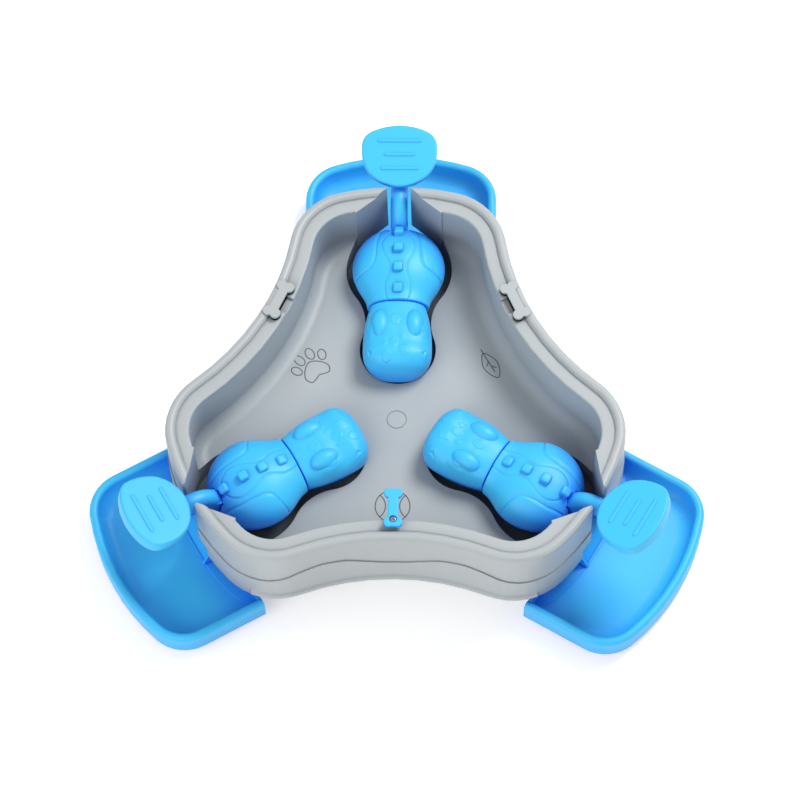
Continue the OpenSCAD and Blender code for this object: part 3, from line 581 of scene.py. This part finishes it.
def head_relief(v):
    """How far each point of the head stands out or in."""
    sx, y, z = v[..., 0], v[..., 1], v[..., 2]
    x = np.abs(sx)
    up = smooth(GIRTH + 1, GIRTH + 6, z)
    # hollow between eyes and snout, hollow between the eyes, swelling of the snout
    out = -0.8 * hump(x, y, (0, 44.2), (15, 4.6)) * up
    out -= 0.5 * hump(x, y, (0, 56.0), (4.5, 8.0)) * up
    out += 0.7 * hump(x, y, (9.0, 35.0), (7.0, 6.0)) * up
    # lid on the outer side of each eye
    out += 1.2 * hump(x, y, (16.2, 53.6), (3.0, 7.0), 1.6) * up
    # nostrils: shallow three-cornered hollows with a small rim
    tri = tri_dist(x, y, [(18.4, 38.8), (14.2, 35.6), (16.2, 32.4)])
    out += 0.75 * hump(x, y, (16.3, 35.6), (3.4, 3.4)) * up
    out -= 0.55 * (1 - smooth(-1.1, -0.2, tri)) * up
    out += 0.2 * groove(tri - 0.3, 0.5) * up
    for c, r, n, spin, squash in HEAD_SCALES:
        out += 0.28 * poly_scale(sx, y, c, r, n, spin, squash) * up
    return out - neck_groove(y)


# Small plates on the head: middle, half width, sides, turn, stretch along y
HEAD_SCALES = [((-1.4, 57.4), 2.7, 6, 30, 1.3), ((3.4, 45.4), 1.45, 5, 18, 1.25),
               ((-1.9, 41.8), 2.4, 6, 8, 1.35), ((-7.4, 42.2), 1.25, 4, 40, 1.8),
               ((4.3, 36.0), 2.2, 4, 20, 1.5), ((-6.2, 32.4), 2.6, 6, 0, 1.25)]


def arm_pocket():
    """Room for the end of the arm inside body and belly."""
    return side_prism("cut", [(103, 20), (103, 51.5), (130, 51.5), (130, 20)], -13.6, 13.6)


def dino_body():
    start, last = NECK_Y + NECK_GAP, 118
    end_angles = np.linspace(math.asin(20.3 / BODY_R), math.pi / 2 - 0.02, 40)
    ys = np.concatenate([start + np.array([0, 0.25, 0.6, 1.1]), np.linspace(NECK_Y + 1.7, last, 120),
                         BODY_Y + BODY_R * np.sin(end_angles)])
    body = np.sqrt(np.clip(BODY_R ** 2 - (ys - BODY_Y) ** 2, 0, None))
    blend = smooth(70, 86, ys)
    neck = NECK_R + 1.5 + (ys - NECK_Y) * 0.44
    wide = np.maximum(body, neck * (1 - blend) + body * blend)
    top = body_height(ys)
    neck_h = 13.5 + (ys - NECK_Y) * 0.2
    rise = np.maximum(top, neck_h * (1 - blend) + top * blend)
    ob = loft("dino_body", ys, wide, rise, 0.83, body_relief, 210)
    slot = prism("cut", [(-7.4, 135), (-7.4, 123.8), (0, 118.6), (7.4, 123.8), (7.4, 135)], 20, 90)
    arm = side_prism("cut", [(112, 36), (112, 47), (118.5, 52.5), (122, 60.2), (132, 64), (132, 36)],
                     -6.25, 6.25)
    combine(ob, [arm_pocket(), slot, arm], "DIFFERENCE")
    for y, z, tilt in SPIKES:
        spike = rounded_block("spike", SPIKE_W, SPIKE_W, SPIKE_H, 1.5)
        lean = Matrix.Rotation(math.radians(tilt), 4, "X")
        spike.data.transform(moved(0, y, z) @ lean @ moved(0, 0, -SPIKE_H / 2))
        combine(ob, [spike], "UNION")
    return smooth_by(ob, 40)


def moved(x, y, z):
    return Matrix.Translation(Vector((x, y, z)) * MM)


def rounded_block(name, w, d, h, r):
    ob = block(name, -w / 2, w / 2, -d / 2, d / 2, -h / 2, h / 2)
    m = ob.modifiers.new("edge", "BEVEL")
    m.width = r * MM
    m.segments = 6
    m.limit_method = "NONE"
    return apply(ob)


def ellipsoid(name, c, r, seg=64, rings=40):
    verts, faces = [], []
    for j in range(1, rings):
        a = math.pi * j / rings
        for i in range(seg):
            b = 2 * math.pi * i / seg
            verts.append((c[0] + r[0] * math.sin(a) * math.cos(b),
                          c[1] + r[1] * math.sin(a) * math.sin(b),
                          c[2] + r[2] * math.cos(a)))
    for j in range(rings - 2):
        for i in range(seg):
            k = (i + 1) % seg
            faces.append((j * seg + i, j * seg + k, (j + 1) * seg + k, (j + 1) * seg + i))
    verts += [(c[0], c[1], c[2] + r[2]), (c[0], c[1], c[2] - r[2])]
    t, u = len(verts) - 2, len(verts) - 1
    for i in range(seg):
        k = (i + 1) % seg
        faces.append((t, k, i))
        faces.append((u, (rings - 2) * seg + i, (rings - 2) * seg + k))
    return new_object(name, verts, faces)


def dino_head():
    snout = SNOUT_Y + (WIDE_Y - SNOUT_Y) * (1 - np.cos(np.linspace(0.03, math.pi / 2, 96)))
    ys = np.concatenate([snout, np.linspace(WIDE_Y + 0.3, NECK_Y - 1.6, 120),
                         NECK_Y - NECK_GAP - np.array([1.1, 0.6, 0.25, 0])])
    # measured half widths and heights from the widest part to the neck; a blunt snout before it
    wide_back = np.interp(ys, [44, 47, 51, 56.5, 60, 63.5, 67, 71],
                          [21.3, 21.25, 21.0, 20.4, 19.9, 19.2, 18.3, 17.2])
    rise_back = np.interp(ys, [44, 52, 58, 64, 71], [14.2, 14.4, 14.2, 13.4, 12.3])
    t = np.clip((WIDE_Y - ys) / (WIDE_Y - SNOUT_Y), 0, 1)
    wide = np.where(ys < WIDE_Y, HEAD_W * (1 - t ** 3.3) ** (1 / 2.5), wide_back)
    rise = np.where(ys < WIDE_Y, 14.2 * (1 - t ** 3.6) ** (1 / 2.1), rise_back)
    ob = loft("dino_head", ys, wide, rise, 0.86, head_relief, 340, power=2.3)
    bits = [ellipsoid("eye", (s * 10.2, 55.2, GIRTH + HEAD_H - 4.1), (6.2, 10.0, 6.0)) for s in (-1, 1)]
    bits += [ellipsoid("lid", (s * 14.3, 52.4, GIRTH + HEAD_H - 5.4), (3.4, 5.8, 4.2)) for s in (-1, 1)]
    combine(ob, bits, "UNION")
    return smooth_by(ob, 50)


def dino_belly():
    """Hidden under part: the same outline, drawn in at the waist."""
    y = [27.5, 30, 35, 44, 56, 64, 71, 78, 84, 90, 98, 106, 113, 119, 124, 126]
    w = [7.0, 12.0, 16.0, 17.2, 16.4, 14.8, 13.6, 15.6, 18.6, 21.6, 22.8, 21.8, 19.0, 14.6, 8.6, 4.0]
    right = curve_pts(list(zip(w, y)), 5)
    ob = pillow("belly", right + [(-px, py) for px, py in right[::-1]], BELLY, SPLIT + 0.3, 2.0, 0.2)
    combine(ob, [arm_pocket()], "DIFFERENCE")
    return weigh(ob, 40)


def dino_set():
    body, head, belly = dino_body(), dino_head(), dino_belly()
    for name, deg in LOBES.items():
        for ob, part in ((body, "dino_body"), (head, "dino_head"), (belly, "dino_belly")):
            c = turned_copy(ob, deg, part + "_look_" + name)
            dress(c, BLUE)
            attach(c, "lever_" + name)
            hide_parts(part + "_" + name)
    for ob in (body, head, belly):
        bpy.data.objects.remove(ob)


dino_set()


# Paddles: right half of the outline in the paddle's own plane, from the outer edge inwards
PADDLE_HALF = [(0, 0), (7.9, -0.85), (14.8, -2.85), (18.9, -4.9), (21.3, -7.0), (22.6, -9.2), (23.3, -11.8),
               (23.5, -15), (23.4, -18.5), (22.9, -21.8), (22.1, -24.8), (21.0, -27.5), (19.4, -30.3),
               (17.1, -33.0), (14.0, -35.6), (9.8, -37.8), (5.0, -39.2), (0, -39.7)]
PADDLE_TILT, PADDLE_Y, PADDLE_Z, PADDLE_LONG = 15, 180.5, 90, 41
# The underside drops from the outer edge inwards
UNDER, UNDER_DROP = -9.5, 5.1
# Raised bars: place along the paddle, length
BARS, BAR_R = ((-10.7, 27.5), (-19.6, 19.2), (-28.5, 23.6)), 1.15


def paddle_place(p):
    """From the plane of the paddle to the frame of the lobe."""
    c, s = math.cos(math.radians(PADDLE_TILT)), math.sin(math.radians(PADDLE_TILT))
    return (p[0], PADDLE_Y + p[1] * c - p[2] * s, PADDLE_Z + p[1] * s + p[2] * c)


def paddle():
    right = curve_pts([(x, y - 0.6) for x, y in PADDLE_HALF], 6)
    edge = [(-x, y) for x, y in right] + [(x, y) for x, y in right[-2:0:-1]]
    keep = [edge[0]]
    for p in edge[1:]:
        if math.hypot(p[0] - keep[-1][0], p[1] - keep[-1][1]) > 0.25:
            keep.append(p)
    rings = [[paddle_place((x, v, UNDER - v * UNDER_DROP / PADDLE_LONG + h)) for x, v in inner(keep, d)]
             for d, h in round_edge(1.6, 5)]
    rings += [[paddle_place((x, v, -d)) for x, v in inner(keep, h)] for d, h in round_edge(1.4, 6)]
    ob = stack("paddle", rings)
    bars = []
    for v, length in BARS:
        half = length / 2 - BAR_R
        cap = bow(half, v, BAR_R, -90, 90, 10) + bow(-half, v, BAR_R, 90, 270, 10)
        rows = [(0, -0.6), (0, 0.12), (0.1, 0.32), (0.32, 0.5), (0.7, 0.6)]
        bars.append(stack("bar", [[paddle_place((x, y, z)) for x, y in inner(cap, d)] for d, z in rows]))
    combine(ob, bars, "UNION")
    return weigh(ob, 50)


# Pieces made from the frame's own solids
def from_cad(node):
    me = frame["nodes"][node].data.copy()
    me.name = node + "_look"
    tidy_mesh(me, 1e-6)
    for name in ("custom_normal", "sharp_edge", "sharp_face"):
        if name in me.attributes:
            me.attributes.remove(me.attributes[name])
    return add_object(node + "_look", me)


BODY_OF = {n: b for b, names in frame["record"]["behaviour"]["bodies"].items() for n in names}


def show(ob, node, mat=None):
    ob.name = node + "_look"
    dress(ob, mat or SLOT_MATERIAL[SLOTS[node]])
    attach(ob, BODY_OF[node])
    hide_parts(node)


def in_lobes(make):
    out = []
    for deg in LOBES.values():
        ob = make()
        ob.data.transform(Matrix.Rotation(math.radians(deg), 4, "Z"))
        out.append(ob)
    return out


def both_sides(make):
    """A left and a right piece in each lobe."""
    return [ob for side in (-1, 1) for ob in in_lobes(lambda: make(side))]


def sided(pts, side):
    return [(side * x, y) for x, y in pts]


# Half width of the slot, height of the seam and of the ledge, and a height over the whole wall
SLOT_HALF, SEAM, LEDGE, OVER = 7.3, 50.0, 80.0, 95
# Lower edge of the closed walls, and where pieces of wall end just short of a flat face
WALL_FOOT, SHORT = 36.0, 0.03


def slot_corner(side, z1):
    """Rounds the corner of the wall beside the slot."""
    x, y, r, into = 8.9, 138.8, 1.6, 7.0
    pts = [(into, y)] + bow(x, y, r, 180, 90, 8) + [(x, 142), (into, 142)]
    return prism("cut", sided(pts, side), 37.5, z1)


# The pit's outer end, right half: two straight flights from the slot to the pit's own curve
CHORD = ((SLOT_HALF, 138.6), (16.2, 131.0), (26.6, 122.5))


def pit_wall(side):
    """Closes the wall beside the slot, a little past the chord that trims it."""
    pts = [(SLOT_HALF, 137.8), (16.0, 130.4), (25.2, 122.9), (26.6, 122.6), (28.0, 124.2), (22.0, 132.0),
           (17.6, 137.0), (SLOT_HALF, 139.6)]
    return prism("wall", sided(pts, side), WALL_FOOT, LEDGE - SHORT)


def pit_trim():
    """Cuts the wall back to the two straight flights on both sides of the slot."""
    pts = list(CHORD) + [(20.0, 112.0), (-20.0, 112.0)] + sided(CHORD[::-1], -1)
    return prism("cut", pts, WALL_FOOT - 0.5, OVER)


def hook_notch(mirror):
    """Shallow recess in the ledge beside the waist of a hook."""
    pts = []
    for x, y in ((-10.5, 7.6), (-1.2, 7.6), (-1.2, 18.2), (-10.5, 18.2)):
        # from the hook's own plane to the middle of the left side, then round to the hook's place
        px, py = turn((12.9 - y, x + (-SIDE_R - 6.7)), 5.7)
        q = turn((px, py + SIDE_D), 60)
        pts.append((-q[0], q[1]) if mirror else q)
    return prism("cut", pts, LEDGE - 1.9, LEDGE + 1.6)


def groove_fill():
    """Makes the groove beside the bead shallower."""
    t0, low = 6.25, 78.6
    sec = [(t0, low), (t0, 79.9), (t0 + 0.55, 79.88), (t0 + 1.2, LEDGE - SHORT), (t0 + 1.2, low)]
    return skin("fill", sec, [ring(t) for t, z in sec])


def bowl():
    ob = combine(from_cad("bowl"), [groove_fill()] + both_sides(pit_wall), "UNION")
    cuts = in_lobes(pit_trim)
    cuts += in_lobes(lambda: block("cut", -SLOT_HALF, SLOT_HALF, 120, 145, SEAM + 0.2, OVER))
    cuts += both_sides(lambda side: slot_corner(side, OVER))
    cuts += [hook_notch(False), hook_notch(True)]
    combine(ob, cuts, "DIFFERENCE")
    return weigh(ob, 28)


def door_panel(side):
    """Closes the outer wall above the doorway, beside the slot."""
    xs = np.linspace(SLOT_HALF, 17.6, 8)
    pts = [(x, TIP_CY + math.sqrt(WALL_OUT ** 2 - x * x)) for x in xs]
    pts += [(x, TIP_CY + math.sqrt(WALL_IN ** 2 - x * x)) for x in xs[::-1]]
    return prism("panel", sided(pts, side), WALL_FOOT, SEAM - SHORT)


def base():
    ob = combine(from_cad("base"), both_sides(door_panel), "UNION")
    combine(ob, both_sides(lambda side: slot_corner(side, 70)), "DIFFERENCE")
    return weigh(ob, 28)


# Turning latch: the place of its screw, its underside, and its length
LATCH_AT, LATCH_Z, LATCH_LONG = (0, -86.6), 83.5, 24.6
LATCH_THICK, SCREW_R, HEAD_R, RECESS_R = 2.5, 1.5, 1.85, 2.3


def bone_edge(length, wide=11.3):
    """Outline of a bone standing on y = 0."""
    r = 3.0
    x = wide / 2 - r
    top = bow(x, length - r, r, -80, 112, 16) + bow(-x, length - r, r, 68, 260, 16)
    low = bow(-x, r, r, 100, 292, 16) + bow(x, r, r, 248, 440, 16)
    return top + low


def latch():
    y0 = LATCH_AT[1] - 5.0 + 0.3
    out = [(x, y + y0) for x, y in bone_edge(LATCH_LONG)]
    ob = pillow("latch", out, LATCH_Z, LATCH_Z + LATCH_THICK, 0.3, 0.8)
    recess = tube("cut", LATCH_AT, RECESS_R, LATCH_Z + 0.9, LATCH_Z + 4)
    hole = tube("cut", LATCH_AT, SCREW_R + 0.07, LATCH_Z - 2, LATCH_Z + 4)
    combine(ob, [recess, hole], "DIFFERENCE")
    return weigh(ob, 35)


def latch_screw():
    x, y = LATCH_AT
    ob = tube("screw", LATCH_AT, SCREW_R, 73, 84.8)
    head = pillow("head", oval(x, y, HEAD_R, HEAD_R, n=48), 84.45, 85.3, 0.1, 0.4)
    combine(ob, [head], "UNION")
    arms = ((1.2, 0.3), (0.3, 1.2))
    cross = [block("cut", x - rx, x + rx, y - ry, y + ry, 84.6, 88) for rx, ry in arms]
    combine(ob, cross, "DIFFERENCE")
    return weigh(ob, 35)


pad = paddle()
for lobe, deg in LOBES.items():
    show(turned_copy(pad, deg, "p"), "paddle_" + lobe)
    show(weigh(from_cad("lever_arm_" + lobe), 32), "lever_arm_" + lobe)
    show(weigh(from_cad("catch_tray_" + lobe), 32), "catch_tray_" + lobe, BLUE_TRAY)
bpy.data.objects.remove(pad)
show(bowl(), "bowl")
show(base(), "base")
show(latch(), "cover_latch")
show(latch_screw(), "latch_screw")


# Line drawings on the floor of the bowl: width of a line, its underside and its top
INK_W, INK_LOW, INK_TOP = 0.62, 39.7, 40.07


def ribbon(pts, closed):
    p = np.array(pts, float)
    left = left_of(p, closed)
    a, b = p + left * INK_W / 2, p - left * INK_W / 2
    n = len(p)
    verts = [(*q, z) for z in (INK_LOW, INK_TOP) for side in (a, b) for q in side]
    faces = []
    for i in range(n if closed else n - 1):
        j = (i + 1) % n
        faces += [(i, j, n + j, n + i), (2 * n + i, 3 * n + i, 3 * n + j, 2 * n + j),
                  (i, 2 * n + i, 2 * n + j, j), (n + i, n + j, 3 * n + j, 3 * n + i)]
    if not closed:
        faces += [(0, n, 3 * n, 2 * n), (n - 1, 3 * n - 1, 4 * n - 1, 2 * n - 1)]
    return verts, faces


def drawing(name, lines, centre, deg, scale=1.0):
    verts, faces = [], []
    for pts, closed in lines:
        q = [turn((x * scale, y * scale), deg) for x, y in pts]
        v, f = ribbon([(x + centre[0], y + centre[1]) for x, y in q], closed)
        k = len(verts)
        verts += v
        faces += [tuple(i + k for i in face) for face in f]
    ob = new_object(name, verts, faces)
    dress(ob, INK)
    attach(ob, "frame")
    return ob


def closed_curve(ctrl, n=10):
    c = list(ctrl)
    pts = curve_pts([c[-1]] + c + c[:2], n)
    return pts[n:-n - 1]


PAW = [(closed_curve([(0, 3.5), (5.2, 0.6), (8.4, -4.6), (6.6, -8.8), (2.6, -8.2), (0, -7.2), (-2.6, -8.2),
                      (-6.6, -8.8), (-8.4, -4.6), (-5.2, 0.6)]), True),
       (oval(-9.6, 3.2, 2.5, 3.6, 24), True), (oval(-3.9, 8.0, 2.6, 4.0, 8), True),
       (oval(3.9, 8.0, 2.6, 4.0, -8), True), (oval(9.6, 3.2, 2.5, 3.6, -24), True)]
LEAF = [(closed_curve([(0, -9), (4.2, -2), (3.4, 4.5), (0, 9), (-3.4, 4.5), (-4.2, -2)]), True),
        ([(0, -12), (0, -6), (0, 0), (0, 5)], False),
        ([(0, -3), (1.2, -1.6), (2.6, -0.6)], False), ([(0, 0.5), (-1.2, 1.9), (-2.4, 2.8)], False)]
BALL = [(oval(0, 0, 10.5, 10.5, 0, 60), True), (bow(-13.5, 0, 9.2, -52, 52, 18), False),
        (bow(13.5, 0, 9.2, 128, 232, 18), False)]
drawing("floor_drawing_left", PAW, (-52.5, 36.0), 38)
drawing("floor_drawing_right", LEAF, (57.5, 37.5), -150, 1.05)
drawing("floor_drawing_front", BALL, (-1.5, -58.0), 0)


# Floor, light and camera
def stage_floor():
    """A pale matt floor, a little brighter to the camera than its light alone makes it."""
    me = bpy.data.meshes.new("floor")
    me.from_pydata([(-4, -4, 0), (4, -4, 0), (4, 4, 0), (-4, 4, 0)], [], [(0, 1, 2, 3)])
    ob = add_object("floor", me)
    ob.location.z = -0.0006
    mat = bpy.data.materials.new("floor")
    mat.use_nodes = True
    nt = mat.node_tree
    nt.nodes.clear()
    matt = add_node(nt, "BsdfDiffuse", Color=(0.93, 0.93, 0.93, 1))
    glow = add_node(nt, "Emission", Color=(1, 1, 1, 1))
    rays = add_node(nt, "LightPath").outputs
    seen = math_node(nt, "MAXIMUM", rays["Is Camera Ray"], rays["Is Glossy Ray"])
    seen = math_node(nt, "MAXIMUM", seen, rays["Is Transmission Ray"])
    nt.links.new(math_node(nt, "MULTIPLY", seen, 0.42), glow.inputs["Strength"])
    both = add_node(nt, "AddShader")
    nt.links.new(matt.outputs[0], both.inputs[0])
    nt.links.new(glow.outputs[0], both.inputs[1])
    nt.links.new(both.outputs[0], add_node(nt, "OutputMaterial").inputs["Surface"])
    me.materials.append(mat)


stage_floor()


def area(name, place, aim, size, power):
    """A round lamp that looks from place to aim, in metres."""
    li = bpy.data.lights.new(name, "AREA")
    li.shape = "DISK"
    li.size = size
    li.energy = power
    ob = add_object(name, li)
    ob.location = place
    ob.rotation_euler = (Vector(aim) - Vector(place)).to_track_quat("-Z", "Y").to_euler()


area("key", (0.75, 0.65, 1.4), (0, 0, 0.03), 0.75, 20.5)
area("fill", (-0.75, -1.1, 0.95), (0, 0, 0.03), 1.4, 12)
world = bpy.data.worlds.new("soft")
bpy.context.scene.world = world
world.use_nodes = True
sky = world.node_tree.nodes["Background"]
sky.inputs["Color"].default_value = (1, 1, 1, 1)
sky.inputs["Strength"].default_value = 0.4


def camera():
    """The camera that was fitted to the photograph: angles in radians, focus and centre in its pixels."""
    psi, el, dist, roll = -0.0831889, 1.1026267, 1000.0, -0.0681990
    f, cx, cy, tx, ty, unit = 3118.498, 349.016, 363.813, 14.18341, -10.70917, 1.881
    width, sensor, aim_z = 800, 36, 0.08
    right = Vector((1, 0, 0))
    up = Vector((0, math.sin(el), math.cos(el)))
    back = Vector((0, -math.cos(el), math.sin(el)))
    r2 = math.cos(roll) * right + math.sin(roll) * up
    u2 = -math.sin(roll) * right + math.cos(roll) * up
    place = back * dist - Vector((tx, ty, 0))
    undo = Matrix.Rotation(-psi, 3, "Z")
    r2, u2, back, place = undo @ r2, undo @ u2, undo @ back, undo @ place
    place = place * unit * MM + Vector((0, 0, aim_z))
    cam = bpy.data.cameras.new("camera")
    cam.sensor_width = sensor
    cam.lens = f * sensor / width
    cam.shift_x = (width / 2 - cx) / width
    cam.shift_y = (cy - width / 2) / width
    cam.clip_end = 20
    ob = add_object("camera", cam)
    m = Matrix((r2, u2, back)).transposed().to_4x4()
    m.translation = place
    ob.matrix_world = m
    bpy.context.scene.camera = ob


camera()
bpy.context.scene.view_settings.view_transform = "Standard"
